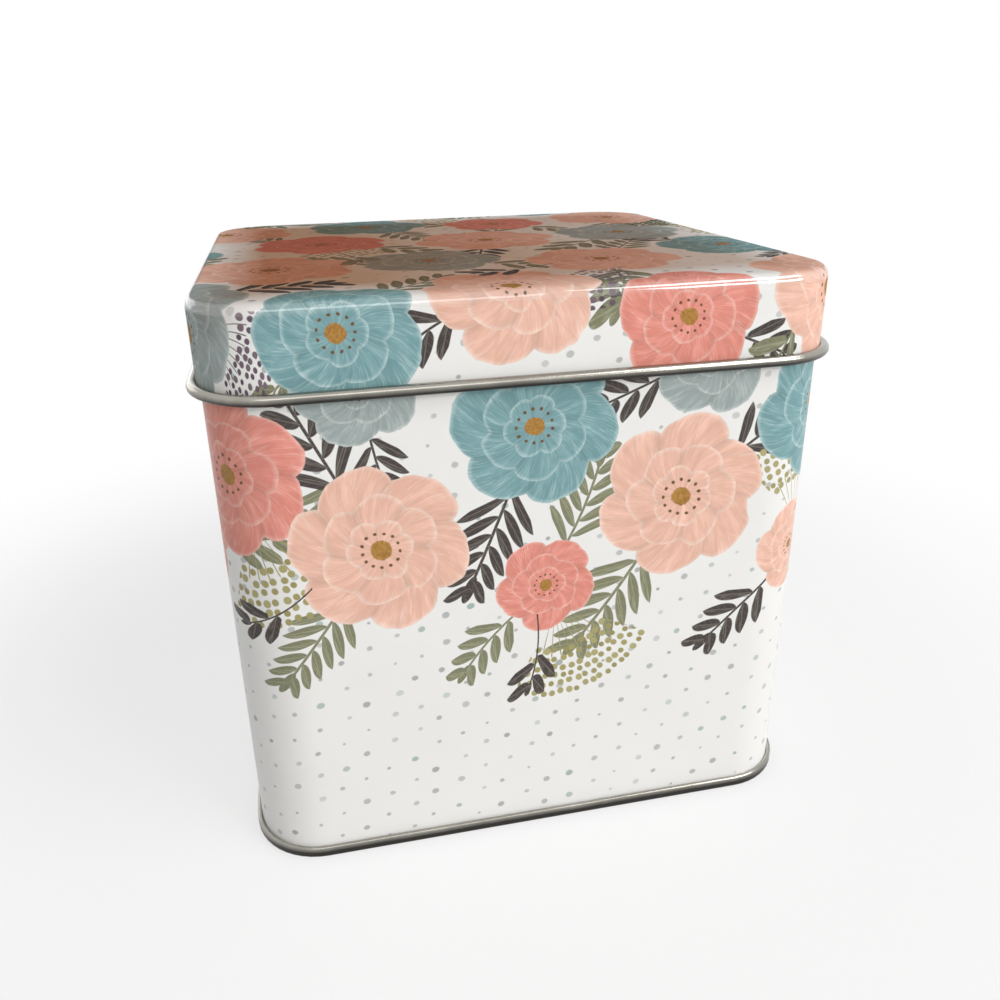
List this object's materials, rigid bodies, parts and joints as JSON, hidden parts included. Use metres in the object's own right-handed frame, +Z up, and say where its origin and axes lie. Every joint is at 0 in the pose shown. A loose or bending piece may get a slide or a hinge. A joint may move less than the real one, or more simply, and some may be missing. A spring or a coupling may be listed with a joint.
{
  "type": "slip-lid tin box",
  "caption": "Square tinplate box with rounded corners, a lift-off slip lid with a rolled edge, and a seamed base rim.",
  "frame": {"origin": "centre of the base, on the surface that the box stands on", "axes": "+Z up through the lid; +X to the right of the side that faces the viewer; +Y to the back, where the wall's lock seam is"},
  "size_m": [0.1094, 0.1094, 0.102],
  "materials": {
    "printed_lid": "gloss printed tinplate, teal, grey-blue and peach flowers on a white dotted ground, bare metal at the rolled edge",
    "printed_wall": "gloss printed tinplate, flowers towards the mouth on a white dotted ground",
    "bare_tinplate": "bright bare tinplate"
  },
  "bodies": {
    "box": {"body_wall": "printed_wall", "base_plate": "bare_tinplate"},
    "lid": {"lid": "printed_lid"}
  },
  "joints": [
    {"name": "lid_lift", "type": "slide", "parent": "box", "child": "lid", "axis": [0, 0, 1], "range_m": [0, 0.115]}
  ]
}
